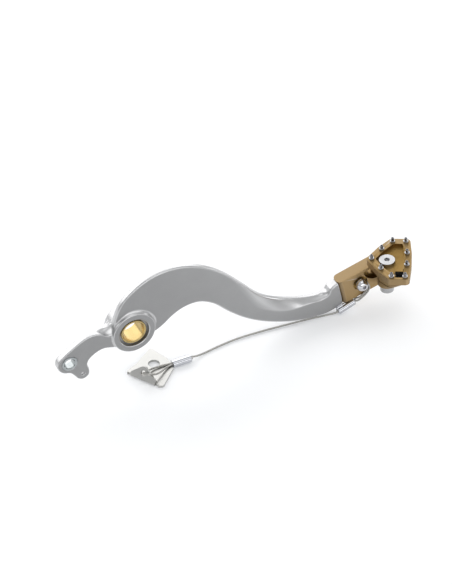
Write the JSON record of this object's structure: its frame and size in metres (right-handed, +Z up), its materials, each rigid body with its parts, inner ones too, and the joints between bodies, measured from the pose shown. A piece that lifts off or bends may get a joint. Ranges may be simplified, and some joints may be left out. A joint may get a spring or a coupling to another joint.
{
  "type": "rear brake pedal",
  "caption": "Forged motorcycle rear brake pedal with a brass pivot bush, a push rod lever, a folding studded tip on a coloured holder and a wire rope safety cable with its frame bracket.",
  "frame": {"origin": "centre of the pivot bore, halfway along the pivot boss", "axes": "+X forward along the arm towards the tip, +Y along the pivot bore towards the motorcycle, +Z up"},
  "size_m": [0.2997, 0.0637, 0.0939],
  "materials": {
    "arm_aluminium": "satin, fine blasted and clear anodised",
    "bush_brass": "turned",
    "zinc_steel": "zinc plated",
    "gold_aluminium": "bronze gold anodised, milled",
    "stainless": "turned stainless",
    "polished_steel": "polished",
    "ferrule_aluminium": "drawn and polished",
    "bracket_steel": "polished sheet"
  },
  "bodies": {
    "pedal": {"pedal_arm": "arm_aluminium", "pivot_bush": "bush_brass", "push_rod_bush": "zinc_steel", "tip_holder": "gold_aluminium", "cable_screw": "polished_steel", "knuckle_pin": "stainless", "safety_cable": "stainless", "ferrule_front": "ferrule_aluminium", "ferrule_rear": "ferrule_aluminium", "frame_bracket": "bracket_steel"},
    "knuckle": {"tip_hub": "gold_aluminium", "tip_bolt": "stainless", "tip_nut": "stainless"},
    "tip": {"tip_plate": "gold_aluminium", "stud_1": "stainless", "stud_2": "stainless", "stud_3": "stainless", "stud_4": "stainless", "stud_5": "stainless", "stud_6": "stainless", "stud_7": "stainless", "stud_8": "stainless", "stud_9": "stainless"}
  },
  "joints": [
    {"name": "tip_fold", "type": "hinge", "parent": "pedal", "child": "knuckle", "pos_m": [0.21124, -0.00125, -0.01696], "axis": [-0.0698, 0, 0.9976], "range_deg": [-22, 0]},
    {"name": "tip_turn", "type": "hinge", "parent": "knuckle", "child": "tip", "pos_m": [0.21162, -0.01575, -0.0052], "axis": [-0.0698, 0, 0.9976], "range_deg": [-180, 180]}
  ]
}
